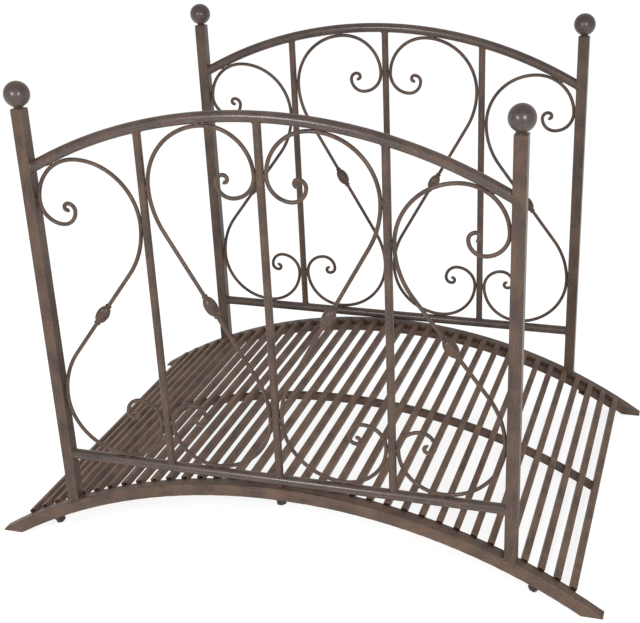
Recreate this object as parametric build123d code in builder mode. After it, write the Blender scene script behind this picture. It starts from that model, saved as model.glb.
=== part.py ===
from build123d import *
from math import asin, atan2, cos, degrees, hypot, radians, sin, sqrt
import os

# Arched garden footbridge, welded from steel tube and rod.
# X runs along the bridge, Y across it and Z up, with the origin on the floor under mid-span.

# Side frames
frame_spacing = 865.0
post_spacing = 960.0
post_size = 25.0
post_top = 968.0
tube_wall = 1.5
tube_corner = 2.0
weld_gap = 0.2

# Arched side beams
bridge_length = 1336.0
beam_radius = 1204.0
beam_crown = 189.0
beam_depth = 27.0
beam_width = 25.0

# Ball finials
ball_diameter = 50.0
ball_centre = 995.5
neck_diameter = 14.0
neck_foot_diameter = 19.0

# Rails and balusters
top_rail_diameter = 22.0
top_rail_crown = 975.0
top_rail_end = 855.0
bottom_rail_diameter = 22.0
rail_clearance = 5.0
baluster_diameter = 16.0
baluster_spacing = 240.0
light_wall = 1.2
spacer_length = 10.0
spacer_width = 8.0
spacer_grip = 2.0

# Scrolls, with radii as shares of the clear width between their uprights
rod_diameter = 8.0
shoulder_share = 0.585
bend_share = 0.81
volute_shares = (0.215, 0.138, 0.068, 0.038)
tip_share = 0.028
tip_turn = 110.0
knot_length = 50.0
knot_diameter = 24.5
knot_waist_diameter = 11.0
collar_diameter = 13.5
collar_length = 5.5
socket_depth = 8.0

# Deck
slat_size = 14.0
slat_wall = 1.0
slat_corner = 1.5
slat_pitch = 36.9
deck_inset = 55.0
slat_rise = 6.0
slat_end_gap = 0.5
slats_per_group = 5
bar_size = 15.0

# Tabs that carry the deck
tab_length = 30.0
tab_width = 24.0
tab_thickness = 3.0
tab_offset = 525.0

# Places worked out from the sizes above
frame_y = frame_spacing / 2
post_x = post_spacing / 2
post_inner = post_x - post_size / 2
beam_centre_z = beam_crown - beam_radius
beam_top_radius = beam_radius + beam_depth / 2
beam_bottom_radius = beam_radius - beam_depth / 2
beam_inner_y = frame_y - beam_width / 2
slat_top_radius = beam_top_radius + slat_rise
bar_top_radius = slat_top_radius - slat_size
bar_bottom_radius = bar_top_radius - bar_size
bottom_rail_height = beam_centre_z + beam_top_radius + rail_clearance + bottom_rail_diameter / 2
rail_rise = top_rail_crown - top_rail_end
top_rail_radius = (post_inner**2 + rail_rise**2) / (2 * rail_rise)
rail_centre_z = top_rail_crown - top_rail_radius
rod_radius = rod_diameter / 2

# Degrees by which an arched body runs on past the planes that cut its ends
overrun = 3.0

sides = {"front": -frame_y, "back": frame_y}
ends = {"left": -1, "right": 1}

os.makedirs("parts", exist_ok=True)


def save(piece, name):
    piece.part.label = name
    export_step(piece.part, f"parts/{name}.step")


def arch_plane(y):
    """The upright plane of a side frame, with its own Y up and its normal to the front."""
    return Plane(origin=(0, y, 0), x_dir=(1, 0, 0), z_dir=(0, -1, 0))


def arched_strip(outer, inner, half_angle):
    """A strip between two arcs about the bridge's arch centre, even about mid-span."""
    with BuildSketch() as strip:
        with BuildLine():
            top = CenterArc((0, beam_centre_z), outer, 90 - half_angle, 2 * half_angle)
            low = CenterArc((0, beam_centre_z), inner, 90 - half_angle, 2 * half_angle)
            Line(top @ 0, low @ 0)
            Line(top @ 1, low @ 1)
        make_face()
    return strip.sketch


def top_rail_body(y, radius, extra):
    """A round bar along the top rail's arc, past the posts by a small angle."""
    half_angle = degrees(asin(post_inner / top_rail_radius)) + extra
    with BuildPart() as bar:
        with BuildLine(arch_plane(y)) as route:
            CenterArc((0, rail_centre_z), top_rail_radius, 90 - half_angle, 2 * half_angle)
        with BuildSketch(route.line ^ 0):
            Circle(radius)
        sweep()
    return bar.part


def bottom_rail_body(y, radius):
    """A straight round bar along the bottom rail's axis."""
    with BuildPart() as bar:
        with BuildSketch(Plane(origin=(0, y, bottom_rail_height), z_dir=(1, 0, 0))):
            Circle(radius)
        extrude(amount=post_inner, both=True)
    return bar.part


# Side beams: box section, cut level at the feet and upright at the tips
beam_reach = degrees(asin(bridge_length / 2 / beam_bottom_radius)) + overrun
beam_strip = arched_strip(beam_top_radius, beam_bottom_radius, beam_reach)
for side, y in sides.items():
    with BuildPart() as beam:
        with BuildSketch(arch_plane(y)):
            add(beam_strip)
        extrude(amount=beam_width / 2, both=True)
        fillet(beam.edges().filter_by(GeomType.CIRCLE), radius=tube_corner)
        split(bisect_by=Plane(origin=(bridge_length / 2, 0, 0), z_dir=(-1, 0, 0)), keep=Keep.TOP)
        split(bisect_by=Plane(origin=(-bridge_length / 2, 0, 0), z_dir=(1, 0, 0)), keep=Keep.TOP)
        split(bisect_by=Plane.XY, keep=Keep.TOP)
    save(beam, f"side_beam_{side}")

# Posts: square tube, closed at the top, with the foot cut to the beam's arch
for side, y in sides.items():
    for end, way in ends.items():
        with BuildPart() as post:
            with BuildSketch():
                with Locations((way * post_x, y)):
                    RectangleRounded(post_size, post_size, tube_corner)
            extrude(amount=post_top)
            with BuildSketch():
                with Locations((way * post_x, y)):
                    Rectangle(post_size - 2 * tube_wall, post_size - 2 * tube_wall)
            extrude(amount=post_top - tube_wall, mode=Mode.SUBTRACT)
            with BuildSketch(arch_plane(y)):
                with Locations((0, beam_centre_z)):
                    Circle(beam_top_radius)
            extrude(amount=post_size, both=True, mode=Mode.SUBTRACT)
        save(post, f"post_{end}_{side}")

# Ball finials, each on a short neck
ball_radius = ball_diameter / 2
for side, y in sides.items():
    for end, way in ends.items():
        with BuildPart() as finial:
            with BuildSketch(Plane(origin=(way * post_x, y, 0), x_dir=(1, 0, 0), z_dir=(0, -1, 0))):
                with BuildLine():
                    neck_meet = ball_centre - sqrt(ball_radius**2 - (neck_diameter / 2) ** 2)
                    Line((0, post_top), (neck_foot_diameter / 2, post_top))
                    Line((neck_foot_diameter / 2, post_top), (neck_diameter / 2, neck_meet))
                    ball_side = (ball_radius, ball_centre)
                    ThreePointArc((neck_diameter / 2, neck_meet), ball_side, (0, ball_centre + ball_radius))
                    Line((0, ball_centre + ball_radius), (0, post_top))
                make_face()
            revolve(axis=Axis((way * post_x, y, 0), (0, 0, 1)))
        save(finial, f"finial_{end}_{side}")

# Top rails: round tube bent to an arc, cut flush at the posts' inner faces
for side, y in sides.items():
    with BuildPart() as top_rail:
        add(top_rail_body(y, top_rail_diameter / 2, overrun))
        add(top_rail_body(y, top_rail_diameter / 2 - tube_wall, 2 * overrun), mode=Mode.SUBTRACT)
        split(bisect_by=Plane(origin=(post_inner, 0, 0), z_dir=(-1, 0, 0)), keep=Keep.TOP)
        split(bisect_by=Plane(origin=(-post_inner, 0, 0), z_dir=(1, 0, 0)), keep=Keep.TOP)
    save(top_rail, f"top_rail_{side}")

# Bottom rails: straight round tube between the posts
for side, y in sides.items():
    with BuildPart() as bottom_rail:
        add(bottom_rail_body(y, bottom_rail_diameter / 2))
        add(bottom_rail_body(y, bottom_rail_diameter / 2 - tube_wall), mode=Mode.SUBTRACT)
    save(bottom_rail, f"bottom_rail_{side}")

# Spacers: small blocks between the beam's crown and the bottom rail, shaped to both
spacer_height = rail_clearance + 2 * spacer_grip
for side, y in sides.items():
    with BuildPart() as spacer:
        with BuildSketch(arch_plane(y)):
            with Locations((0, bottom_rail_height - bottom_rail_diameter / 2 + spacer_grip)):
                Rectangle(spacer_length, spacer_height, align=(Align.CENTER, Align.MAX))
            with Locations((0, beam_centre_z)):
                Circle(beam_top_radius + weld_gap, mode=Mode.SUBTRACT)
        extrude(amount=spacer_width / 2, both=True)
        add(bottom_rail_body(y, bottom_rail_diameter / 2 + weld_gap), mode=Mode.SUBTRACT)
    save(spacer, f"rail_spacer_{side}")

# Balusters: round tube with both ends cut to the rails they meet
baluster_places = {"left": -baluster_spacing, "middle": 0, "right": baluster_spacing}
for side, y in sides.items():
    for place, x in baluster_places.items():
        with BuildPart() as baluster:
            with BuildSketch(Plane.XY.offset(bottom_rail_height)):
                with Locations((x, y)):
                    Circle(baluster_diameter / 2)
                    Circle(baluster_diameter / 2 - light_wall, mode=Mode.SUBTRACT)
            rail_axis = rail_centre_z + sqrt(top_rail_radius**2 - x**2)
            extrude(amount=rail_axis - bottom_rail_height)
            add(bottom_rail_body(y, bottom_rail_diameter / 2 + weld_gap), mode=Mode.SUBTRACT)
            add(top_rail_body(y, top_rail_diameter / 2 + weld_gap, 0), mode=Mode.SUBTRACT)
        save(baluster, f"baluster_{place}_{side}")


def wind_in(place, heading, width, way):
    """A scroll's loop and volute: tangent arcs of falling radius, each a quarter turn."""
    shares = (shoulder_share, 1 - shoulder_share) + volute_shares
    turns = [(width * share, 90.0) for share in shares] + [(width * tip_share, tip_turn)]
    for radius, turn in turns:
        way_on = (cos(radians(heading)), sin(radians(heading)))
        arc = JernArc(place, way_on, radius, way * turn)
        place = arc @ 1
        heading += way * turn


def scroll_lines(start_x, end_x, top_z, low_z, seat_reach):
    """Centre lines of a scroll's two rods in its frame's plane, and of the diagonal they share.

    The diagonal leaves the upper loop at start_x and meets the lower loop at end_x, as one
    straight between two bends. Both loops wind in the same way round. Each rod ends on the
    diagonal, seat_reach from its middle.
    """
    width = abs(start_x - end_x)
    way = 1 if start_x > end_x else -1
    shoulder = width * shoulder_share
    bend_radius = width * bend_share
    upper = Vector(start_x, top_z - shoulder)
    lower = Vector(end_x, low_z + shoulder)
    across = width - 2 * bend_radius
    down = upper.Y - lower.Y
    reach = hypot(across, down)
    lean = degrees(atan2(across, down) + asin(2 * bend_radius / reach))
    with BuildLine():
        upper_bend = JernArc(upper, (0, -1), bend_radius, -way * lean)
        lower_bend = JernArc(lower, (0, 1), bend_radius, -way * lean)
        diagonal = Line(upper_bend @ 1, lower_bend @ 1)
    rods = []
    for start, heading, bend, side_of_knot in ((upper, 90, upper_bend, -1), (lower, -90, lower_bend, 1)):
        with BuildLine() as rod:
            add(bend)
            Line(bend @ 1, diagonal @ 0.5 + (diagonal % 0.5) * side_of_knot * seat_reach)
            wind_in(start, heading, width, way)
        rods.append(rod.line)
    return rods, diagonal


def loop_top(outer_x, loop_radius):
    """Height at which an upper loop's centre line just meets the arched top rail."""
    limit = top_rail_radius - top_rail_diameter / 2 - rod_radius - weld_gap
    top_x = abs(outer_x) - loop_radius
    return rail_centre_z + sqrt((limit - loop_radius) ** 2 - top_x**2) + loop_radius


def scroll_part(y, start_x, end_x, mirrored):
    """One scroll: two round rods, each seated in an end of the knot on the diagonal."""
    width = abs(start_x - end_x)
    outer_share = shoulder_share if start_x < end_x else 1 - shoulder_share
    top_z = loop_top(min(start_x, end_x), width * outer_share)
    low_z = bottom_rail_height + bottom_rail_diameter / 2 + rod_radius + weld_gap
    half = knot_length / 2
    seat = half - socket_depth
    rods, diagonal = scroll_lines(start_x, end_x, top_z, low_z, seat + weld_gap)
    middle = diagonal @ 0.5
    along = diagonal % 0.5
    knot_plane = Plane(origin=(middle.X, y, middle.Y), x_dir=(along.X, 0, along.Y), z_dir=(0, -1, 0))
    with BuildPart() as piece:
        for rod in rods:
            with BuildLine() as route:
                add(arch_plane(y) * rod)
            with BuildSketch(route.wire() ^ 0):
                Circle(rod_radius)
            sweep()
        with BuildSketch(knot_plane):
            with BuildLine():
                waist = knot_waist_diameter / 2
                rim = collar_diameter / 2
                bore = rod_radius + weld_gap
                inner = half - collar_length
                ThreePointArc((-inner, waist), (0, knot_diameter / 2), (inner, waist))
                Polyline((inner, waist), (half, rim), (half, bore), (seat, bore), (seat, 0))
                Line((seat, 0), (-seat, 0))
                Polyline((-seat, 0), (-seat, bore), (-half, bore), (-half, rim), (-inner, waist))
            make_face()
        revolve(axis=Axis(knot_plane.origin, knot_plane.x_dir))
        if mirrored:
            mirror(about=Plane.YZ, mode=Mode.REPLACE)
    return piece


# Scrolls: the two on the left are made as they stand, and the two on the right mirror them
rod_reach = rod_radius + weld_gap
by_post = -post_inner + rod_reach
by_baluster = -baluster_spacing - baluster_diameter / 2 - rod_reach
past_baluster = -baluster_spacing + baluster_diameter / 2 + rod_reach
by_middle = -baluster_diameter / 2 - rod_reach
bays = {"outer": (by_baluster, by_post), "inner": (past_baluster, by_middle)}
for side, y in sides.items():
    for bay, (start_x, end_x) in bays.items():
        for end, way in ends.items():
            save(scroll_part(y, start_x, end_x, way > 0), f"scroll_{bay}_{end}_{side}")

# Deck bars: arched square tube under the slats, one along each side beam and one down the middle
slat_angle = degrees(slat_pitch / bar_top_radius)
deck_reach = degrees(asin((bridge_length / 2 - deck_inset) / bar_top_radius))
slat_count = 2 * int(deck_reach / slat_angle) + 1
deck_half_angle = (slat_count - 1) / 2 * slat_angle + degrees(slat_size / 2 / bar_top_radius)
bore_reach = deck_half_angle + overrun
bar_places = {"front": -beam_inner_y + bar_size / 2, "middle": 0, "back": beam_inner_y - bar_size / 2}
for place, y in bar_places.items():
    with BuildPart() as bar:
        with BuildSketch(arch_plane(y)):
            add(arched_strip(bar_top_radius, bar_bottom_radius, deck_half_angle))
        extrude(amount=bar_size / 2, both=True)
        with BuildSketch(arch_plane(y)):
            add(arched_strip(bar_top_radius - slat_wall, bar_bottom_radius + slat_wall, bore_reach))
        extrude(amount=bar_size / 2 - slat_wall, both=True, mode=Mode.SUBTRACT)
    save(bar, f"deck_bar_{place}")

# Slats: square tubes with open ends, set radially round the arch and shared out in groups
slat_length = 2 * (beam_inner_y - slat_end_gap)
first_angle = -(slat_count - 1) / 2 * slat_angle
for group, first_slat in enumerate(range(0, slat_count, slats_per_group)):
    with BuildPart() as slats:
        for step in range(first_slat, min(first_slat + slats_per_group, slat_count)):
            lean = first_angle + step * slat_angle
            out = (sin(radians(lean)), 0, cos(radians(lean)))
            foot = Vector(0, 0, beam_centre_z) + Vector(*out) * (bar_top_radius + slat_size / 2)
            with BuildSketch(Plane(origin=foot, x_dir=(out[2], 0, -out[0]), z_dir=(0, -1, 0))):
                RectangleRounded(slat_size, slat_size, slat_corner)
                Rectangle(slat_size - 2 * slat_wall, slat_size - 2 * slat_wall, mode=Mode.SUBTRACT)
            extrude(amount=slat_length / 2, both=True)
    save(slats, f"deck_slats_{group + 1}")

# Tabs: plates on the side beams' inner faces, under the deck bars
tab_seat_radius = sqrt(bar_bottom_radius**2 - (tab_length / 2) ** 2) - weld_gap
for side, y in sides.items():
    way_in = 1 if y < 0 else -1
    with BuildPart() as tabs:
        for x in (-tab_offset, 0, tab_offset):
            lean = degrees(asin(x / bar_bottom_radius))
            out = Vector(sin(radians(lean)), 0, cos(radians(lean)))
            seat = Vector(0, way_in * (tab_width / 2 - beam_inner_y), beam_centre_z) + out * tab_seat_radius
            with BuildSketch(Plane(origin=seat, x_dir=(out.Z, 0, -out.X), z_dir=out)):
                Rectangle(tab_length, tab_width)
            extrude(amount=-tab_thickness)
    save(tabs, f"deck_tabs_{side}")
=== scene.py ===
"""Looks of an arched metal garden bridge, laid out as an add-on and built round its packed model.

Lengths are in metres in the bridge's own frame: X runs along it, Y across it and Z up.
"""
import math

import bmesh
import bpy
from bpy.props import FloatProperty, FloatVectorProperty, IntProperty, PointerProperty
from mathutils import Matrix, Vector


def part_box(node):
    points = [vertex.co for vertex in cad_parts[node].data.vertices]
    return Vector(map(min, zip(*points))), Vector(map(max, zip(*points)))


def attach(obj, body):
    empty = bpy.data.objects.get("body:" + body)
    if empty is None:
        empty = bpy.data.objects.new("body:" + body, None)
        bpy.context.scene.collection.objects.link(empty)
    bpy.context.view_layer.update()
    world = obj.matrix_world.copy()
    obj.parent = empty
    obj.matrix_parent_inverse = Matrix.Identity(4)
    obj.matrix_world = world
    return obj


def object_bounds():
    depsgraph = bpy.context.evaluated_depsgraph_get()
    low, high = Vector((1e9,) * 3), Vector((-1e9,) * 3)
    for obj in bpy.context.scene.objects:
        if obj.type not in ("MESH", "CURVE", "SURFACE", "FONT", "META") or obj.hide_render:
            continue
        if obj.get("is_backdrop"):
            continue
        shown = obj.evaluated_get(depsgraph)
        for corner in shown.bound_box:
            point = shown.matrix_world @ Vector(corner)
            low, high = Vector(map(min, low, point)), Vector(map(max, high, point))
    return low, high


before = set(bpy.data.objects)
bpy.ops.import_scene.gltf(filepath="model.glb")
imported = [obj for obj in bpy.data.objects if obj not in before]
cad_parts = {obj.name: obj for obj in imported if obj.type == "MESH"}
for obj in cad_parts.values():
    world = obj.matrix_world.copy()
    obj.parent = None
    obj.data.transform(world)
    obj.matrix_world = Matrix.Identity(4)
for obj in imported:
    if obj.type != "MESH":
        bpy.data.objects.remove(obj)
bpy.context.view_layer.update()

bl_info = {
    "name": "Arched Garden Bridge",
    "version": (1, 0, 0),
    "blender": (4, 5, 0),
    "location": "3D View > Sidebar > Garden Bridge",
    "description": "Paints an arched metal garden bridge and adds knots, welds, bolts and a studio",
    "category": "Object",
}

SIDES = {"front": -1, "back": 1}
ENDS = {"left": -1, "right": 1}
BALUSTERS = ("left", "middle", "right")

# Sizes of the packed model that its boxes don't give
ROD_RADIUS = 0.004
BEAM_DEPTH = 0.027
SLATS = 35
SLAT_PITCH = 0.0369
SLAT_SIZE = 0.014

# Radii of a scroll's larger loops and of its diagonal's bends, as shares of the scroll's width
SHOULDER = 0.585
BEND = 0.81

# Weld beads: points round a closed one, its radius on a ball's neck, how far one stops short of a
# post's corners, and how far a tack stands from the middle of a rod towards either face
ROUND_POINTS = 40
NECK_BEAD_RADIUS = 0.0092
FOOT_INSET = 0.002
TACK_DEPTH = 0.0026

# Weld beads on the slats: width as a share of a tack's, and length as a share of the bar's width
SLAT_BEAD_WIDTH = 0.8
SLAT_BEAD_LENGTH = 0.7

# Surface of a bead: spacing of its rings in ripples, height of a ripple as a share of the bead's
# radius, lumps to the metre, and the seed that they are drawn from
RING_SPACING = 0.3
RIPPLE_HEIGHT = 0.1
LUMPS = 160.0
LUMP_SEED = 3.0

# Knots: how much of an ellipse the body keeps between its collars, and its twist in radians a metre
KNOT_KEPT = 0.88
KNOT_TWIST = 9.0

# Nuts and bolt ends: washer, chamfer as a share of the nut's height, radius of its small face as a
# share of its width, and depth of the thread as a share of its pitch
WASHER_THICKNESS = 0.002
NUT_CHAMFER = 0.12
NUT_FACE = 0.44
THREAD_DEPTH = 0.6

# One millimetre in metres
MM = 0.001

# Paint: how far its roughness swings either way, and the cool cast of its reflections
ROUGHNESS_SWING = 0.07
COOL_GLOSS = "#dfe8f5"

# Light of the soft boxes
LAMP_COLOUR = "#fafcff"

# The camera stands in front of the right end, above the rails, and looks down along the deck. Its
# angles are in radians, its focal length in pixels of a picture of that width, its sensor in
# millimetres, and its reach is how far it sees.
CAMERA_SPOT = (0.8009, -2.4210, 1.5149)
CAMERA_YAW = 0.28252
CAMERA_PITCH = -0.42552
CAMERA_ROLL = -0.02489
FOCAL_PIXELS = 1209.8
PICTURE_WIDTH = 640
SENSOR_WIDTH = 36
CAMERA_SHIFT = (-0.0958, 0.0300)
CAMERA_REACH = 100

# Half the breadth of the floor
FLOOR_REACH = 30

# How far along Y a direction points when the sky's light starts and stops changing
SKY_FADE = 0.7


def linear(hex_colour):
    """An sRGB hex colour as three linear values."""
    channels = [int(hex_colour[i:i + 2], 16) / 255 for i in (1, 3, 5)]
    return tuple(c / 12.92 if c <= 0.04045 else ((c + 0.055) / 1.055) ** 2.4 for c in channels)


def add_node(tree, kind, inputs=None, **settings):
    """Adds a node, sets it up, and fills each input with a value or links it to a socket."""
    made = tree.nodes.new(kind)
    for name, value in settings.items():
        setattr(made, name, value)
    for key, value in (inputs or {}).items():
        if isinstance(value, bpy.types.NodeSocket):
            tree.links.new(value, made.inputs[key])
        else:
            made.inputs[key].default_value = value
    return made


# Sizes and colours


class BridgePaint(bpy.types.PropertyGroup):
    """Colours and texture of the brown patina paint."""

    body: FloatVectorProperty(
        name="Body", description="Main brown of the paint", subtype="COLOR",
        default=linear("#4d3d31"), min=0, max=1)
    shade: FloatVectorProperty(
        name="Shade", description="Darker brown left by the brushed glaze", subtype="COLOR",
        default=linear("#372d26"), min=0, max=1)
    blush: FloatVectorProperty(
        name="Blush", description="Reddish cast where the glaze is thin", subtype="COLOR",
        default=linear("#613f30"), min=0, max=1)
    rubbed: FloatVectorProperty(
        name="Rubbed", description="Grey flecks rubbed through the paint", subtype="COLOR",
        default=linear("#7b766e"), min=0, max=1)
    cloud: FloatProperty(
        name="Cloud size", description="Breadth of a cloud in the glaze", subtype="DISTANCE",
        default=0.055, min=0.005, max=0.5)
    fleck: FloatProperty(
        name="Fleck size", description="Breadth of a rubbed fleck", subtype="DISTANCE",
        default=0.0032, min=0.0005, max=0.02)


class BridgeKnot(bpy.types.PropertyGroup):
    """Sizes of the forged knots on the scrolls."""

    diameter: FloatProperty(
        name="Diameter", description="Thickest part of a knot, over its ribs", subtype="DISTANCE",
        default=0.026, min=0.02, max=0.04)
    body_length: FloatProperty(
        name="Body length", description="Length of the ribbed body between the collars",
        subtype="DISTANCE", default=0.039, min=0.02, max=0.08)
    ribs: IntProperty(
        name="Ribs", description="Number of ribs round a knot", default=11, min=3, max=40)
    rib_depth: FloatProperty(
        name="Rib depth", description="Depth of the grooves between the ribs", subtype="DISTANCE",
        default=0.0006, min=0, max=0.003)


class BridgeWeld(bpy.types.PropertyGroup):
    """Sizes of the weld beads."""

    joint_width: FloatProperty(
        name="Joint bead", description="Width of the bead round a rail's or baluster's end",
        subtype="DISTANCE", default=0.0036, min=0.001, max=0.01)
    tack_width: FloatProperty(
        name="Tack bead", description="Width of the short beads that hold the scrolls and slats",
        subtype="DISTANCE", default=0.003, min=0.001, max=0.01)
    tack_length: FloatProperty(
        name="Tack length", description="Length of a short bead", subtype="DISTANCE",
        default=0.009, min=0.002, max=0.03)
    ripple: FloatProperty(
        name="Ripple pitch", description="Distance from one ripple of a bead to the next",
        subtype="DISTANCE", default=0.0024, min=0.0005, max=0.01)


class BridgeBolt(bpy.types.PropertyGroup):
    """Sizes of the nuts and bolt ends under the side beams."""

    diameter: FloatProperty(
        name="Diameter", description="Thread diameter", subtype="DISTANCE",
        default=0.012, min=0.003, max=0.02)
    pitch: FloatProperty(
        name="Pitch", description="Distance from one turn of the thread to the next",
        subtype="DISTANCE", default=0.00175, min=0.0005, max=0.003)
    nut_width: FloatProperty(
        name="Nut width", description="Width of the nut across its flats", subtype="DISTANCE",
        default=0.019, min=0.005, max=0.03)
    nut_height: FloatProperty(
        name="Nut height", description="Height of the nut", subtype="DISTANCE",
        default=0.0108, min=0.003, max=0.02)
    washer: FloatProperty(
        name="Washer", description="Diameter of the washer", subtype="DISTANCE",
        default=0.024, min=0.008, max=0.04)
    tail: FloatProperty(
        name="Tail", description="Thread that stands out below the nut", subtype="DISTANCE",
        default=0.002, min=0.001, max=0.03)
    offset: FloatProperty(
        name="Offset", description="Distance of the outer nuts from mid-span", subtype="DISTANCE",
        default=0.53, min=0.1, max=0.6)


class BridgeStage(bpy.types.PropertyGroup):
    """The plain studio round the bridge."""

    floor: FloatVectorProperty(
        name="Floor", description="Colour of the floor", subtype="COLOR",
        default=linear("#acacac"), min=0, max=1)
    glow: FloatProperty(
        name="Floor glow", description="Light that the lit sweep itself gives",
        default=0.76, min=0, max=2)
    sky: FloatProperty(
        name="Sky", description="Strength of the even light from the camera's side",
        default=0.55, min=0, max=5)
    backdrop: FloatProperty(
        name="Backdrop", description="Strength of the even light from behind the bridge",
        default=0.75, min=0, max=5)
    lamp: FloatProperty(
        name="Lamp", description="Power of each of the two soft boxes beside the camera",
        subtype="POWER", unit="POWER", default=38, min=0, max=2000)
    lamp_size: FloatProperty(
        name="Lamp size", description="Breadth of a soft box", subtype="DISTANCE",
        default=0.55, min=0.05, max=5)
    lamp_distance: FloatProperty(
        name="Lamp distance", description="How far the soft boxes stand from the bridge's middle",
        subtype="DISTANCE", default=3, min=1, max=20)
    left_lamp: FloatProperty(
        name="Left lamp", description="Turn of the left lamp from straight in front",
        subtype="ANGLE", default=math.radians(-16), min=-math.pi, max=math.pi)
    right_lamp: FloatProperty(
        name="Right lamp", description="Turn of the right lamp from straight in front",
        subtype="ANGLE", default=math.radians(34), min=-math.pi, max=math.pi)
    lamp_height: FloatProperty(
        name="Lamp height", description="Angle of both lamps above the floor", subtype="ANGLE",
        default=math.radians(22), min=0, max=math.pi / 2)


GROUPS = {
    "bridge_paint": BridgePaint,
    "bridge_knot": BridgeKnot,
    "bridge_weld": BridgeWeld,
    "bridge_bolt": BridgeBolt,
    "bridge_stage": BridgeStage,
}


# Places read from the packed model


def rail_arc(side):
    """Centre height, radius and tube radius of a top rail's arc."""
    low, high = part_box(f"top_rail_{side}")
    tube = (high.y - low.y) / 2
    reach = high.x
    crown = high.z - tube
    drop = low.z - crown
    radius = (tube ** 2 - reach ** 2 - drop ** 2) / (2 * (drop + tube))
    return crown - radius, radius, tube


def beam_arc(side):
    """Centre height and radius of the upper face of a side beam."""
    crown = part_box(f"side_beam_{side}")[1].z
    foot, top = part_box(f"post_right_{side}")
    drop = crown - foot.z
    radius = (drop ** 2 + top.x ** 2) / (2 * drop)
    return crown - radius, radius


def middle(node):
    """Centre of a node's box."""
    low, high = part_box(node)
    return (low + high) / 2


# Materials


def patina_paint(name, settings, stroke, rub, roughness, gloss, clear, pale):
    """Brown powder coat under a brushed dark glaze, rubbed back to grey in small flecks.

    The glaze gives soft clouds and long strokes, the rubbing gives fine lighter flecks, and the
    thin clear top gives a tight highlight over a broad satin one.
    """
    paint = bpy.data.materials.new(name)
    paint.use_nodes = True
    tree = paint.node_tree
    tree.nodes.clear()
    # Every colour is scaled by the finish's paleness, which is partly painted light and painted
    # shade
    shade, body, blush = (
        (*(channel * pale for channel in colour), 1)
        for colour in (settings.shade, settings.body, settings.blush))
    place = add_node(tree, "ShaderNodeTexCoord").outputs["Object"]
    drawn = add_node(tree, "ShaderNodeMapping", {
        "Vector": place, "Scale": [MM / size for size in stroke]})
    clouds = add_node(tree, "ShaderNodeTexNoise", {
        "Vector": place, "Scale": 1 / settings.cloud, "Detail": 3.0, "Roughness": 0.55})
    strokes = add_node(tree, "ShaderNodeTexNoise", {
        "Vector": drawn.outputs["Vector"], "Scale": 1 / MM, "Detail": 4.0, "Roughness": 0.6})
    flecks = add_node(tree, "ShaderNodeTexNoise", {
        "Vector": place, "Scale": 1 / settings.fleck, "Detail": 5.0, "Roughness": 0.65})
    # Orange peel of a sprayed powder coat, about 1.2 mm from crest to crest
    peel = add_node(tree, "ShaderNodeTexNoise", {
        "Vector": place, "Scale": 1 / (1.2 * MM), "Detail": 2.0})
    glaze = add_node(tree, "ShaderNodeMapRange", {
        "Value": clouds.outputs["Fac"], "From Min": 0.36, "From Max": 0.62})
    glazed = add_node(tree, "ShaderNodeMix", {
        "Factor": glaze.outputs["Result"], "A": shade, "B": body}, data_type="RGBA")
    warmth = add_node(tree, "ShaderNodeMapRange", {
        "Value": strokes.outputs["Fac"], "From Min": 0.45, "From Max": 0.75, "To Max": 0.55})
    warmed = add_node(tree, "ShaderNodeMix", {
        "Factor": warmth.outputs["Result"], "A": glazed.outputs["Result"], "B": blush},
        data_type="RGBA")
    rubbing = add_node(tree, "ShaderNodeMapRange", {
        "Value": flecks.outputs["Fac"], "From Min": 0.5, "From Max": 0.78, "To Max": rub})
    rubbed = add_node(tree, "ShaderNodeMix", {
        "Factor": rubbing.outputs["Result"], "A": warmed.outputs["Result"],
        "B": (*settings.rubbed, 1)}, data_type="RGBA")
    # The rubbed flecks are a little smoother than the paint between them
    sheen = add_node(tree, "ShaderNodeMapRange", {
        "Value": flecks.outputs["Fac"], "From Min": 0.3, "From Max": 0.7,
        "To Min": roughness + ROUGHNESS_SWING, "To Max": roughness - ROUGHNESS_SWING})
    skin = add_node(
        tree, "ShaderNodeMath", {0: peel.outputs["Fac"], 1: flecks.outputs["Fac"]},
        operation="ADD")
    bump = add_node(tree, "ShaderNodeBump", {
        "Height": skin.outputs["Value"], "Strength": 0.2, "Distance": 0.2 * MM})
    shader = add_node(tree, "ShaderNodeBsdfPrincipled", {
        "Base Color": rubbed.outputs["Result"], "Roughness": sheen.outputs["Result"],
        "Normal": bump.outputs["Normal"], "IOR": 1.5, "Specular Tint": (*linear(COOL_GLOSS), 1),
        "Specular IOR Level": gloss, "Coat Weight": clear, "Coat Roughness": 0.2, "Coat IOR": 1.5})
    add_node(tree, "ShaderNodeOutputMaterial", {"Surface": shader.outputs["BSDF"]})
    return paint


def studio_sweep(name, colour, glow):
    """Matt white sweep lit from behind: even and without a highlight."""
    paper = bpy.data.materials.new(name)
    paper.use_nodes = True
    tree = paper.node_tree
    tree.nodes.clear()
    shader = add_node(tree, "ShaderNodeBsdfPrincipled", {
        "Base Color": (*colour, 1), "Roughness": 1.0, "Specular IOR Level": 0.0,
        "Emission Color": (1, 1, 1, 1), "Emission Strength": glow})
    add_node(tree, "ShaderNodeOutputMaterial", {"Surface": shader.outputs["BSDF"]})
    return paper


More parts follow.
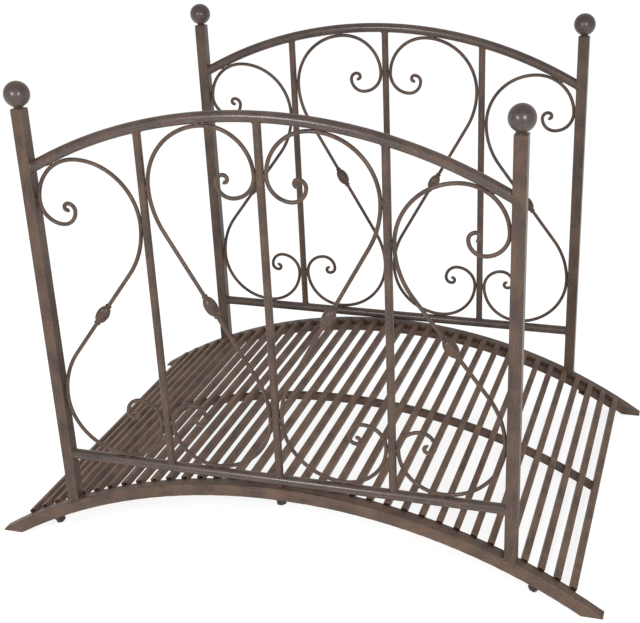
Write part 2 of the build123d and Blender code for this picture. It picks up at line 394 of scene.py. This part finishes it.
def zinc_steel(name):
    """Blackened zinc on steel: dark and hard, paler and shinier where the blackening is thin."""
    steel = bpy.data.materials.new(name)
    steel.use_nodes = True
    tree = steel.node_tree
    tree.nodes.clear()
    place = add_node(tree, "ShaderNodeTexCoord").outputs["Object"]
    # Soot-like blotches of the blackening bath, about 4 mm across
    blotch = add_node(tree, "ShaderNodeTexNoise", {
        "Vector": place, "Scale": 1 / (4 * MM), "Detail": 4.0})
    dark, light = (*linear("#2b2624"), 1), (*linear("#575049"), 1)
    colour = add_node(tree, "ShaderNodeMix", {
        "Factor": blotch.outputs["Fac"], "A": dark, "B": light}, data_type="RGBA")
    gloss = add_node(tree, "ShaderNodeMapRange", {
        "Value": blotch.outputs["Fac"], "To Min": 0.5, "To Max": 0.3})
    shader = add_node(tree, "ShaderNodeBsdfPrincipled", {
        "Base Color": colour.outputs["Result"], "Roughness": gloss.outputs["Result"],
        "Metallic": 1.0})
    add_node(tree, "ShaderNodeOutputMaterial", {"Surface": shader.outputs["BSDF"]})
    return steel


def material(name):
    """The bridge's material of that name, made on first use."""
    if name in bpy.data.materials:
        return bpy.data.materials[name]
    if name == "black_zinc_bolt":
        return zinc_steel(name)
    return patina_paint(name, bpy.context.scene.bridge_paint, *FINISHES[name])


# Size of the brush strokes along X, Y and Z, how far each finish is rubbed, its roughness, gloss,
# clear top and paleness. The last four are matched to the photograph under this studio's light.
# The paleness makes lighter and darker copies of one paint, so it is partly painted light and
# painted shade: paler slats and beams, darker balls and rails.
FINISHES = {
    "patina_paint_upright": ((0.004, 0.004, 0.045), 0.35, 0.46, 0.22, 0.2, 1.07),
    "patina_paint_beam": ((0.045, 0.004, 0.004), 0.35, 0.48, 0.2, 0.15, 1.33),
    "patina_paint_rail": ((0.045, 0.004, 0.004), 0.4, 0.4, 0.35, 0.35, 0.9),
    "patina_paint_ball": ((0.012, 0.012, 0.012), 0.4, 0.4, 0.5, 0.3, 0.68),
    "patina_paint_rod": ((0.02, 0.004, 0.02), 0.35, 0.46, 0.22, 0.15, 1.05),
    "patina_paint_slat": ((0.004, 0.045, 0.004), 0.5, 0.52, 0.14, 0.05, 1.9),
    "patina_paint_weld": ((0.003, 0.003, 0.003), 0.5, 0.42, 0.3, 0.4, 1.0),
}

PAINTS = {
    "post": "patina_paint_upright",
    "finial": "patina_paint_ball",
    "baluster": "patina_paint_upright",
    "side_beam": "patina_paint_beam",
    "top_rail": "patina_paint_rail",
    "bottom_rail": "patina_paint_rail",
    "rail_spacer": "patina_paint_beam",
    "scroll": "patina_paint_rod",
    "deck_bar": "patina_paint_beam",
    "deck_slats": "patina_paint_slat",
    "deck_tabs": "patina_paint_slat",
}


# Meshes and node trees


def paths_mesh(name, paths):
    """A mesh of edges only: one open or closed path for each (points, closed)."""
    mesh = bpy.data.meshes.new(name)
    points, edges = [], []
    for path, closed in paths:
        first = len(points)
        points += path
        edges += [(first + i, first + i + 1) for i in range(len(path) - 1)]
        if closed:
            edges.append((first + len(path) - 1, first))
    mesh.from_pydata(points, edges, [])
    return mesh


def new_tree(name, inputs):
    """A geometry tree with a mesh in, a mesh out and named inputs of (name, kind, default)."""
    tree = bpy.data.node_groups.new(name, "GeometryNodeTree")
    tree.interface.new_socket("Geometry", in_out="INPUT", socket_type="NodeSocketGeometry")
    for label, kind, default in inputs:
        socket = tree.interface.new_socket(label, in_out="INPUT", socket_type=kind)
        socket.default_value = default
    tree.interface.new_socket("Geometry", in_out="OUTPUT", socket_type="NodeSocketGeometry")
    return tree, add_node(tree, "NodeGroupInput").outputs


def close_tree(tree, geometry, paint):
    """Ends a tree: instances made real and given their material."""
    real = add_node(tree, "GeometryNodeRealizeInstances", {"Geometry": geometry})
    coated = add_node(tree, "GeometryNodeSetMaterial", {
        "Geometry": real.outputs[0], "Material": paint})
    add_node(tree, "NodeGroupOutput", {"Geometry": coated.outputs[0]})


def stand_on_points(tree, points, shape):
    """Stands a shape on every point, turned so that its Z runs along the point's own axis."""
    heading = add_node(
        tree, "GeometryNodeInputNamedAttribute", {"Name": "axis"}, data_type="FLOAT_VECTOR")
    turn = add_node(
        tree, "FunctionNodeAlignRotationToVector", {"Vector": heading.outputs["Attribute"]},
        axis="Z")
    return add_node(tree, "GeometryNodeInstanceOnPoints", {
        "Points": points, "Instance": shape, "Rotation": turn.outputs[0]}).outputs[0]


def points_mesh(name, spots, axes):
    """A mesh of points only, each with an axis for what stands on it."""
    mesh = bpy.data.meshes.new(name)
    mesh.from_pydata(spots, [], [])
    axis = mesh.attributes.new("axis", "FLOAT_VECTOR", "POINT")
    axis.data.foreach_set("vector", [c for heading in axes for c in heading])
    return mesh


def grown(name, mesh, tree, values):
    """Runs a tree on a mesh and returns the plain mesh object that it makes."""
    piece = bpy.data.objects.new(name, mesh)
    bpy.context.scene.collection.objects.link(piece)
    modifier = piece.modifiers.new("Grow", "NODES")
    modifier.node_group = tree
    for socket in tree.interface.items_tree:
        if socket.name in values:
            modifier[socket.identifier] = values[socket.name]
    graph = bpy.context.evaluated_depsgraph_get()
    made = bpy.data.meshes.new_from_object(piece.evaluated_get(graph), depsgraph=graph)
    piece.modifiers.clear()
    piece.data = made
    made.name = name
    if not made.polygons:
        raise RuntimeError(f"{name} came out empty")
    return piece


def settle(piece):
    """Makes a finished piece ride with the bridge."""
    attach(piece, "root")
    return piece


def bead_tree(paint):
    """A rippled weld bead along every path of a mesh."""
    tree, given = new_tree("Weld Bead", (
        ("Width", "NodeSocketFloat", 0.0036),
        ("Ripple", "NodeSocketFloat", 0.0024),
        ("Seed", "NodeSocketFloat", LUMP_SEED)))
    curve = add_node(tree, "GeometryNodeMeshToCurve", {"Mesh": given["Geometry"]})
    spacing = add_node(
        tree, "ShaderNodeMath", {0: given["Ripple"], 1: RING_SPACING}, operation="MULTIPLY")
    even = add_node(tree, "GeometryNodeResampleCurve", {
        "Curve": curve.outputs[0], "Length": spacing.outputs[0]}, mode="LENGTH")
    along = add_node(tree, "GeometryNodeSplineParameter").outputs["Length"]
    turns = add_node(tree, "ShaderNodeMath", {0: along, 1: given["Ripple"]}, operation="DIVIDE")
    phase = add_node(
        tree, "ShaderNodeMath", {0: turns.outputs[0], 1: math.tau}, operation="MULTIPLY")
    wave = add_node(tree, "ShaderNodeMath", {0: phase.outputs[0]}, operation="SINE")
    lump = add_node(
        tree, "ShaderNodeTexNoise", {"Scale": LUMPS, "Detail": 1.0, "W": given["Seed"]},
        noise_dimensions="4D")
    swell = add_node(tree, "ShaderNodeMapRange", {
        "Value": lump.outputs["Fac"], "From Min": 0.3, "From Max": 0.7,
        "To Min": 0.75, "To Max": 1.2})
    girth = add_node(
        tree, "ShaderNodeMath",
        {0: wave.outputs[0], 1: RIPPLE_HEIGHT, 2: swell.outputs["Result"]},
        operation="MULTIPLY_ADD")
    half = add_node(tree, "ShaderNodeMath", {0: given["Width"], 1: 0.5}, operation="MULTIPLY")
    section = add_node(tree, "GeometryNodeCurvePrimitiveCircle", {
        "Resolution": 7, "Radius": half.outputs[0]})
    bead = add_node(tree, "GeometryNodeCurveToMesh", {
        "Curve": even.outputs[0], "Profile Curve": section.outputs["Curve"],
        "Scale": girth.outputs[0], "Fill Caps": True})
    smooth = add_node(tree, "GeometryNodeSetShadeSmooth", {"Geometry": bead.outputs[0]})
    close_tree(tree, smooth.outputs[0], paint)
    return tree


def beads(name, paths, width):
    """Weld beads along paths, as one piece."""
    tree = bpy.data.node_groups.get("Weld Bead") or bead_tree(material("patina_paint_weld"))
    weld = bpy.context.scene.bridge_weld
    piece = grown(name, paths_mesh(name, paths), tree, {"Width": width, "Ripple": weld.ripple})
    return settle(piece)


def knot_tree(paint):
    """A ribbed barrel, one standing at each point and turned to the point's own axis."""
    tree, given = new_tree("Forged Knot", (
        ("Diameter", "NodeSocketFloat", 0.026),
        ("Length", "NodeSocketFloat", 0.039),
        ("Ribs", "NodeSocketFloat", 11.0),
        ("Rib depth", "NodeSocketFloat", 0.0006)))
    half = add_node(tree, "ShaderNodeMath", {0: given["Length"], 1: 0.5}, operation="MULTIPLY")
    below = add_node(tree, "ShaderNodeMath", {0: given["Length"], 1: -0.5}, operation="MULTIPLY")
    top = add_node(tree, "ShaderNodeCombineXYZ", {"Z": half.outputs[0]})
    foot = add_node(tree, "ShaderNodeCombineXYZ", {"Z": below.outputs[0]})
    axis = add_node(tree, "GeometryNodeCurvePrimitiveLine", {
        "Start": foot.outputs[0], "End": top.outputs[0]})
    steps = add_node(tree, "GeometryNodeResampleCurve", {"Curve": axis.outputs[0], "Count": 25})
    # An ellipse a little longer than the body, so that its ends are cut off at the collars
    share = add_node(tree, "GeometryNodeSplineParameter").outputs["Factor"]
    centred = add_node(tree, "ShaderNodeMapRange", {
        "Value": share, "To Min": -KNOT_KEPT, "To Max": KNOT_KEPT})
    squared = add_node(tree, "ShaderNodeMath", {0: centred.outputs[0], 1: 2.0}, operation="POWER")
    rest = add_node(tree, "ShaderNodeMath", {0: 1.0, 1: squared.outputs[0]}, operation="SUBTRACT")
    girth = add_node(tree, "ShaderNodeMath", {0: rest.outputs[0]}, operation="SQRT")
    thick = add_node(tree, "ShaderNodeMath", {0: given["Diameter"], 1: 0.5}, operation="MULTIPLY")
    section = add_node(tree, "GeometryNodeCurvePrimitiveCircle", {
        "Resolution": 66, "Radius": thick.outputs[0]})
    barrel = add_node(tree, "GeometryNodeCurveToMesh", {
        "Curve": steps.outputs[0], "Profile Curve": section.outputs["Curve"],
        "Scale": girth.outputs[0], "Fill Caps": True})
    spot = add_node(tree, "GeometryNodeInputPosition").outputs[0]
    parts = add_node(tree, "ShaderNodeSeparateXYZ", {0: spot})
    angle = add_node(
        tree, "ShaderNodeMath", {0: parts.outputs["Y"], 1: parts.outputs["X"]},
        operation="ARCTAN2")
    # A slight twist, as the bars of the knot are drawn round while hot
    twist = add_node(
        tree, "ShaderNodeMath", {0: parts.outputs["Z"], 1: KNOT_TWIST, 2: angle.outputs[0]},
        operation="MULTIPLY_ADD")
    turned = add_node(
        tree, "ShaderNodeMath", {0: twist.outputs[0], 1: given["Ribs"]}, operation="MULTIPLY")
    rib = add_node(tree, "ShaderNodeMath", {0: turned.outputs[0]}, operation="COSINE")
    groove = add_node(tree, "ShaderNodeMapRange", {
        "Value": rib.outputs[0], "From Min": -1.0, "From Max": 1.0, "To Min": -1.0, "To Max": 0.0})
    cut = add_node(
        tree, "ShaderNodeMath", {0: groove.outputs[0], 1: given["Rib depth"]},
        operation="MULTIPLY")
    outward = add_node(tree, "ShaderNodeCombineXYZ", {
        "X": parts.outputs["X"], "Y": parts.outputs["Y"]})
    unit = add_node(tree, "ShaderNodeVectorMath", {0: outward.outputs[0]}, operation="NORMALIZE")
    step = add_node(
        tree, "ShaderNodeVectorMath", {0: unit.outputs[0], "Scale": cut.outputs[0]},
        operation="SCALE")
    ribbed = add_node(tree, "GeometryNodeSetPosition", {
        "Geometry": barrel.outputs[0], "Offset": step.outputs[0]})
    smooth = add_node(tree, "GeometryNodeSetShadeSmooth", {"Geometry": ribbed.outputs[0]})
    close_tree(tree, stand_on_points(tree, given["Geometry"], smooth.outputs[0]), paint)
    return tree


def nut_tree(paint):
    """A washer, a hexagon nut and a threaded end, hung from each point along its own axis."""
    tree, given = new_tree("Beam Nut", (
        ("Diameter", "NodeSocketFloat", 0.012),
        ("Pitch", "NodeSocketFloat", 0.00175),
        ("Nut width", "NodeSocketFloat", 0.019),
        ("Nut height", "NodeSocketFloat", 0.0108),
        ("Washer", "NodeSocketFloat", 0.024),
        ("Tail", "NodeSocketFloat", 0.002)))

    # Sizes worked out one after another, each from inputs, from earlier sizes and from numbers
    size = {socket.name: socket for socket in given if socket.name}
    for name, operation, *terms in (
            ("washer radius", "MULTIPLY", "Washer", 0.5),
            ("nut top", "ADD", "Nut height", WASHER_THICKNESS),
            ("nut corner", "MULTIPLY", "Nut width", 0.5 / math.cos(math.pi / 6)),
            ("chamfer", "MULTIPLY", "Nut height", NUT_CHAMFER),
            ("straight", "SUBTRACT", "Nut height", "chamfer"),
            ("nut middle", "MULTIPLY_ADD", "straight", 0.5, WASHER_THICKNESS),
            ("face foot", "SUBTRACT", "nut top", "chamfer"),
            ("face radius", "MULTIPLY", "Nut width", 0.5),
            ("small face", "MULTIPLY", "Nut width", NUT_FACE),
            ("bolt radius", "MULTIPLY", "Diameter", 0.5),
            ("core", "MULTIPLY_ADD", "Pitch", -THREAD_DEPTH, "bolt radius"),
            ("shank", "ADD", "Nut height", "Tail"),
            ("shank middle", "MULTIPLY_ADD", "shank", 0.5, WASHER_THICKNESS),
            ("turns", "DIVIDE", "Tail", "Pitch"),
            ("ridge", "MULTIPLY", "Pitch", THREAD_DEPTH)):
        inputs = {place: size.get(term, term) for place, term in enumerate(terms)}
        size[name] = add_node(tree, "ShaderNodeMath", inputs, operation=operation).outputs[0]

    # The nut's turned face is a low cone, round and a little smaller than the hexagon
    face = add_node(tree, "GeometryNodeMeshCone", {
        "Vertices": 24, "Radius Bottom": size["face radius"], "Radius Top": size["small face"],
        "Depth": size["chamfer"]})
    thread = add_node(tree, "GeometryNodeCurveSpiral", {
        "Resolution": 24, "Rotations": size["turns"], "Start Radius": size["core"],
        "End Radius": size["core"], "Height": size["Tail"]})
    ridge = add_node(tree, "GeometryNodeCurvePrimitiveCircle", {
        "Resolution": 4, "Radius": size["ridge"]})
    cut = add_node(tree, "GeometryNodeCurveToMesh", {
        "Curve": thread.outputs[0], "Profile Curve": ridge.outputs["Curve"], "Fill Caps": True})
    solids = {}
    for name, sides, radius, depth in (
            ("washer", 32, "washer radius", WASHER_THICKNESS),
            ("nut", 6, "nut corner", size["straight"]),
            ("bolt", 24, "core", size["shank"])):
        prism = add_node(tree, "GeometryNodeMeshCylinder", {
            "Vertices": sides, "Radius": size[radius], "Depth": depth})
        solids[name] = prism.outputs["Mesh"]
    whole = add_node(tree, "GeometryNodeJoinGeometry")
    for shape, height in (
            (solids["washer"], WASHER_THICKNESS / 2), (solids["nut"], size["nut middle"]),
            (face.outputs["Mesh"], size["face foot"]), (solids["bolt"], size["shank middle"]),
            (cut.outputs[0], size["nut top"])):
        place = add_node(tree, "ShaderNodeCombineXYZ", {"Z": height})
        lifted = add_node(tree, "GeometryNodeTransform", {
            "Geometry": shape, "Translation": place.outputs[0]})
        tree.links.new(lifted.outputs[0], whole.inputs[0])
    close_tree(tree, stand_on_points(tree, given["Geometry"], whole.outputs[0]), paint)
    return tree


# Places of the scrolls, knots and beads


def scroll_boxes():
    """Each scroll's bay, end and side, with the corners of its box."""
    for bay in ("outer", "inner"):
        for end in ENDS:
            for side in SIDES:
                low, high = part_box(f"scroll_{bay}_{end}_{side}")
                yield bay, end, side, low, high


def knot_places():
    """Middle and direction of every knot, worked out as the scrolls' diagonals are."""
    for bay, end, _, low, high in scroll_boxes():
        width = high.x - low.x - 2 * ROD_RADIUS
        upper = high.z - ROD_RADIUS - width * SHOULDER
        lower = low.z + ROD_RADIUS + width * SHOULDER
        across = width * (1 - 2 * BEND)
        down = upper - lower
        reach = math.hypot(across, down)
        lean = math.atan2(across, down) + math.asin(2 * width * BEND / reach)
        # An outer scroll's diagonal comes down towards its post, an inner one's towards mid-span
        way = ENDS[end] if bay == "outer" else -ENDS[end]
        heading = Vector((way * math.sin(lean), 0, -math.cos(lean)))
        yield (low + high) / 2, heading


def turns():
    """Angles of the points round a closed bead."""
    return [math.tau * step / ROUND_POINTS for step in range(ROUND_POINTS)]


def rail_end_paths(side):
    """Closed paths round both ends of a frame's top and bottom rails, on the posts' faces."""
    arc_z, arc_radius, tube = rail_arc(side)
    rail_y = middle(f"top_rail_{side}").y
    low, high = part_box(f"bottom_rail_{side}")
    reach = high.x
    level = (low.z + high.z) / 2
    radius = (high.z - low.z) / 2
    end_z = arc_z + math.sqrt(arc_radius ** 2 - reach ** 2)
    # A post's face cuts the sloping top rail in an ellipse
    tall = tube / math.sqrt(1 - (reach / arc_radius) ** 2)
    paths = []
    for way in ENDS.values():
        for height, across, up in ((end_z, tube, tall), (level, radius, radius)):
            paths.append(([(way * reach, rail_y + across * math.cos(t), height + up * math.sin(t))
                           for t in turns()], True))
    return paths


def baluster_end_paths(side):
    """Closed paths round the feet and heads of a frame's balusters, where they meet the rails."""
    arc_z, arc_radius, tube = rail_arc(side)
    rail_y = middle(f"top_rail_{side}").y
    low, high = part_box(f"bottom_rail_{side}")
    level = (low.z + high.z) / 2
    rail_radius = (high.z - low.z) / 2
    paths = []
    for place in BALUSTERS:
        low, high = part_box(f"baluster_{place}_{side}")
        radius = (high.y - low.y) / 2
        x = (low.x + high.x) / 2
        foot, head = [], []
        for t in turns():
            dx, dy = radius * math.cos(t), radius * math.sin(t)
            foot.append((x + dx, rail_y + dy, level + math.sqrt(rail_radius ** 2 - dy ** 2)))
            over = arc_z + math.sqrt(arc_radius ** 2 - (x + dx) ** 2)
            head.append((x + dx, rail_y + dy, over - math.sqrt(tube ** 2 - dy ** 2)))
        paths += [(foot, True), (head, True)]
    return paths


def post_paths(side):
    """Paths where a frame's posts stand on their beam, and round the necks of their balls."""
    beam_z, beam_radius = beam_arc(side)
    paths = []
    for end in ENDS:
        low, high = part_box(f"post_{end}_{side}")
        for x in (low.x, high.x):
            z = beam_z + math.sqrt(beam_radius ** 2 - x ** 2)
            paths.append(([(x, low.y + FOOT_INSET, z), (x, high.y - FOOT_INSET, z)], False))
        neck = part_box(f"finial_{end}_{side}")[0].z
        centre = middle(f"finial_{end}_{side}")
        paths.append(([(centre.x + NECK_BEAD_RADIUS * math.cos(t),
                        centre.y + NECK_BEAD_RADIUS * math.sin(t), neck) for t in turns()], True))
    return paths


# Operators


class BRIDGE_OT_paint(bpy.types.Operator):
    """Paint the bridge's own parts with the brown patina"""

    bl_idname = "bridge.paint"
    bl_label = "Paint Bridge"

    def execute(self, context):
        for name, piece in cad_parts.items():
            kind = next(k for k in PAINTS if name.startswith(k))
            piece.data.materials.clear()
            piece.data.materials.append(material(PAINTS[kind]))
        return {"FINISHED"}


class BRIDGE_OT_knots(bpy.types.Operator):
    """Put a ribbed barrel over every knot of the scrolls"""

    bl_idname = "bridge.knots"
    bl_label = "Forge Knots"

    def execute(self, context):
        sizes = context.scene.bridge_knot
        spots, axes = zip(*knot_places())
        mesh = points_mesh("knot_barrels", spots, axes)
        piece = grown("knot_barrels", mesh, knot_tree(material("patina_paint_rod")), {
            "Diameter": sizes.diameter, "Length": sizes.body_length,
            "Ribs": float(sizes.ribs), "Rib depth": sizes.rib_depth})
        settle(piece)
        return {"FINISHED"}


class BRIDGE_OT_joint_welds(bpy.types.Operator):
    """Run weld beads round the ends of the rails and balusters, the post feet and the ball necks"""

    bl_idname = "bridge.joint_welds"
    bl_label = "Weld Frames"

    def execute(self, context):
        paths = []
        for side in SIDES:
            paths += rail_end_paths(side) + baluster_end_paths(side) + post_paths(side)
        beads("joint_welds", paths, context.scene.bridge_weld.joint_width)
        return {"FINISHED"}


class BRIDGE_OT_scroll_tacks(bpy.types.Operator):
    """Tack the scrolls to the posts, balusters and rails that they touch"""

    bl_idname = "bridge.scroll_tacks"
    bl_label = "Tack Scrolls"

    def execute(self, context):
        weld = context.scene.bridge_weld
        half = weld.tack_length / 2
        paths = []
        for bay, end, side, low, high in scroll_boxes():
            width = high.x - low.x - 2 * ROD_RADIUS
            big, small = width * SHOULDER, width * (1 - SHOULDER)
            y = (low.y + high.y) / 2
            top, foot = high.z - ROD_RADIUS, low.z + ROD_RADIUS
            # The upper loop's larger arc leans on the upright at one edge of the box
            large_at_right = (ENDS[end] < 0) == (bay == "outer")
            by_large, by_small = (high.x, low.x) if large_at_right else (low.x, high.x)
            for x, z in ((by_large, top - big), (by_small, top - small),
                         (by_small, foot + big), (by_large, foot + small)):
                for face in (-TACK_DEPTH, TACK_DEPTH):
                    paths.append(([(x, y + face, z - half), (x, y + face, z + half)], False))
            # The crest of the upper loop under the arched rail, and the foot of the lower one
            inward = 1 if by_large < by_small else -1
            rail_z, rail_radius, tube = rail_arc(side)
            crest_x = by_large + inward * (big + ROD_RADIUS)
            out = Vector((crest_x, 0, top - big - rail_z)).normalized()
            spot = Vector((0, y, rail_z)) + out * (rail_radius - tube)
            along = Vector((out.z, 0, -out.x)) * half
            foot_x = by_small - inward * (big + ROD_RADIUS)
            for face in (-TACK_DEPTH, TACK_DEPTH):
                step = Vector((0, face, 0))
                paths.append(([tuple(spot - along + step), tuple(spot + along + step)], False))
                paths.append(([(foot_x - half, y + face, low.z),
                               (foot_x + half, y + face, low.z)], False))
        beads("scroll_tacks", paths, weld.tack_width)
        return {"FINISHED"}


class BRIDGE_OT_slat_welds(bpy.types.Operator):
    """Weld every slat to the deck's three arched bars"""

    bl_idname = "bridge.slat_welds"
    bl_label = "Weld Slats"

    def execute(self, context):
        weld = context.scene.bridge_weld
        low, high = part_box("deck_bar_middle")
        across = (high.y - low.y) / 2
        centre_z = beam_arc("front")[0]
        seat = high.z - centre_z
        paths = []
        for slat in range(SLATS):
            lean = SLAT_PITCH / seat * (slat - (SLATS - 1) / 2)
            out = Vector((math.sin(lean), 0, math.cos(lean)))
            along = Vector((out.z, 0, -out.x))
            for place in ("front", "middle", "back"):
                y = middle(f"deck_bar_{place}").y
                for way in (-1, 1):
                    spot = Vector((0, y, centre_z)) + out * seat + along * way * SLAT_SIZE / 2
                    reach = Vector((0, across * SLAT_BEAD_LENGTH, 0))
                    paths.append(([tuple(spot - reach), tuple(spot + reach)], False))
        beads("slat_welds", paths, weld.tack_width * SLAT_BEAD_WIDTH)
        return {"FINISHED"}


class BRIDGE_OT_nuts(bpy.types.Operator):
    """Hang a washer, a nut and a bolt end under the side beams"""

    bl_idname = "bridge.nuts"
    bl_label = "Fit Nuts"

    def execute(self, context):
        sizes = context.scene.bridge_bolt
        spots, axes = [], []
        for side in SIDES:
            centre_z, top = beam_arc(side)
            under = top - BEAM_DEPTH
            y = middle(f"side_beam_{side}").y
            for x in (-sizes.offset, 0, sizes.offset):
                down = Vector((-x, 0, -math.sqrt(under ** 2 - x ** 2))) / under
                spots.append(Vector((0, y, centre_z)) - down * under)
                axes.append(down)
        mesh = points_mesh("beam_nuts", spots, axes)
        piece = grown("beam_nuts", mesh, nut_tree(material("black_zinc_bolt")), {
            "Diameter": sizes.diameter, "Pitch": sizes.pitch, "Nut width": sizes.nut_width,
            "Nut height": sizes.nut_height, "Washer": sizes.washer, "Tail": sizes.tail})
        settle(piece)
        return {"FINISHED"}


def lay_floor(settings):
    """A wide flat floor, marked as stage."""
    mesh = bpy.data.meshes.new("floor")
    sheet = bmesh.new()
    bmesh.ops.create_grid(sheet, x_segments=4, y_segments=4, size=FLOOR_REACH)
    sheet.to_mesh(mesh)
    sheet.free()
    mesh.materials.append(studio_sweep("matt_white_sweep", settings.floor, settings.glow))
    floor = bpy.data.objects.new("floor", mesh)
    bpy.context.scene.collection.objects.link(floor)
    floor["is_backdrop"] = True


def light_sky(settings):
    """Soft light from all round, stronger from behind the bridge than from in front."""
    world = bpy.data.worlds.new("studio")
    bpy.context.scene.world = world
    world.use_nodes = True
    tree = world.node_tree
    tree.nodes.clear()
    place = add_node(tree, "ShaderNodeTexCoord").outputs["Generated"]
    heading = add_node(tree, "ShaderNodeSeparateXYZ", {0: place})
    graded = add_node(tree, "ShaderNodeMapRange", {
        "Value": heading.outputs["Y"], "From Min": -SKY_FADE, "From Max": SKY_FADE,
        "To Min": settings.sky, "To Max": settings.backdrop}, interpolation_type="SMOOTHSTEP")
    sky = add_node(tree, "ShaderNodeBackground", {
        "Color": (1, 1, 1, 1), "Strength": graded.outputs["Result"]})
    add_node(tree, "ShaderNodeOutputWorld", {"Surface": sky.outputs["Background"]})


def place_camera():
    """The camera at the photograph's angle."""
    level = math.cos(CAMERA_PITCH)
    ahead = Vector((
        -math.sin(CAMERA_YAW) * level, math.cos(CAMERA_YAW) * level, math.sin(CAMERA_PITCH)))
    right = ahead.cross(Vector((0, 0, 1))).normalized()
    above = right.cross(ahead)
    tilted = math.cos(CAMERA_ROLL) * right + math.sin(CAMERA_ROLL) * above
    upright = math.cos(CAMERA_ROLL) * above - math.sin(CAMERA_ROLL) * right
    lens = bpy.data.cameras.new("camera")
    lens.sensor_fit = "HORIZONTAL"
    lens.sensor_width = SENSOR_WIDTH
    lens.lens = SENSOR_WIDTH * (FOCAL_PIXELS / PICTURE_WIDTH)
    lens.shift_x, lens.shift_y = CAMERA_SHIFT
    lens.clip_end = CAMERA_REACH
    camera = bpy.data.objects.new("camera", lens)
    turn = Matrix((tilted, upright, -ahead)).transposed().to_4x4()
    camera.matrix_world = Matrix.Translation(CAMERA_SPOT) @ turn
    bpy.context.scene.collection.objects.link(camera)
    bpy.context.scene.camera = camera


def hang_lamps(settings):
    """Two soft boxes beside the camera, aimed at the middle of the bridge."""
    low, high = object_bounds()
    heart = Matrix.Translation((Vector(low) + Vector(high)) / 2)
    away = Matrix.Translation((0, 0, settings.lamp_distance))
    raised = Matrix.Rotation(math.pi / 2 - settings.lamp_height, 4, "X")
    for name, turned in (
            ("soft_box_left", settings.left_lamp), ("soft_box_right", settings.right_lamp)):
        lamp = bpy.data.lights.new(name, "AREA")
        lamp.energy = settings.lamp
        lamp.size = settings.lamp_size
        lamp.color = linear(LAMP_COLOUR)
        light = bpy.data.objects.new(name, lamp)
        light.matrix_world = heart @ Matrix.Rotation(turned, 4, "Z") @ raised @ away
        light.visible_camera = False
        bpy.context.scene.collection.objects.link(light)


class BRIDGE_OT_stage(bpy.types.Operator):
    """Set up the pale floor, the soft light and the camera"""

    bl_idname = "bridge.stage"
    bl_label = "Set Stage"

    def execute(self, context):
        settings = context.scene.bridge_stage
        lay_floor(settings)
        light_sky(settings)
        place_camera()
        hang_lamps(settings)
        context.scene.view_settings.view_transform = "Standard"
        return {"FINISHED"}


STEPS = (
    BRIDGE_OT_paint,
    BRIDGE_OT_knots,
    BRIDGE_OT_joint_welds,
    BRIDGE_OT_scroll_tacks,
    BRIDGE_OT_slat_welds,
    BRIDGE_OT_nuts,
    BRIDGE_OT_stage,
)


class BRIDGE_PT_panel(bpy.types.Panel):
    """The bridge's pieces and settings"""

    bl_idname = "BRIDGE_PT_panel"
    bl_label = "Garden Bridge"
    bl_space_type = "VIEW_3D"
    bl_region_type = "UI"
    bl_category = "Garden Bridge"

    def draw(self, context):
        column = self.layout.column()
        for name, group in GROUPS.items():
            column.label(text=group.__doc__)
            for setting in group.__annotations__:
                column.prop(getattr(context.scene, name), setting)
        for step in STEPS:
            column.operator(step.bl_idname)


def register():
    for group in GROUPS.values():
        bpy.utils.register_class(group)
    for name, group in GROUPS.items():
        setattr(bpy.types.Scene, name, PointerProperty(type=group))
    for step in STEPS:
        bpy.utils.register_class(step)
    bpy.utils.register_class(BRIDGE_PT_panel)


def unregister():
    bpy.utils.unregister_class(BRIDGE_PT_panel)
    for step in reversed(STEPS):
        bpy.utils.unregister_class(step)
    for name, group in GROUPS.items():
        delattr(bpy.types.Scene, name)
        bpy.utils.unregister_class(group)


def main():
    register()
    for step in STEPS:
        category, operation = step.bl_idname.split(".")
        getattr(getattr(bpy.ops, category), operation)()


if __name__ == "__main__":
    main()
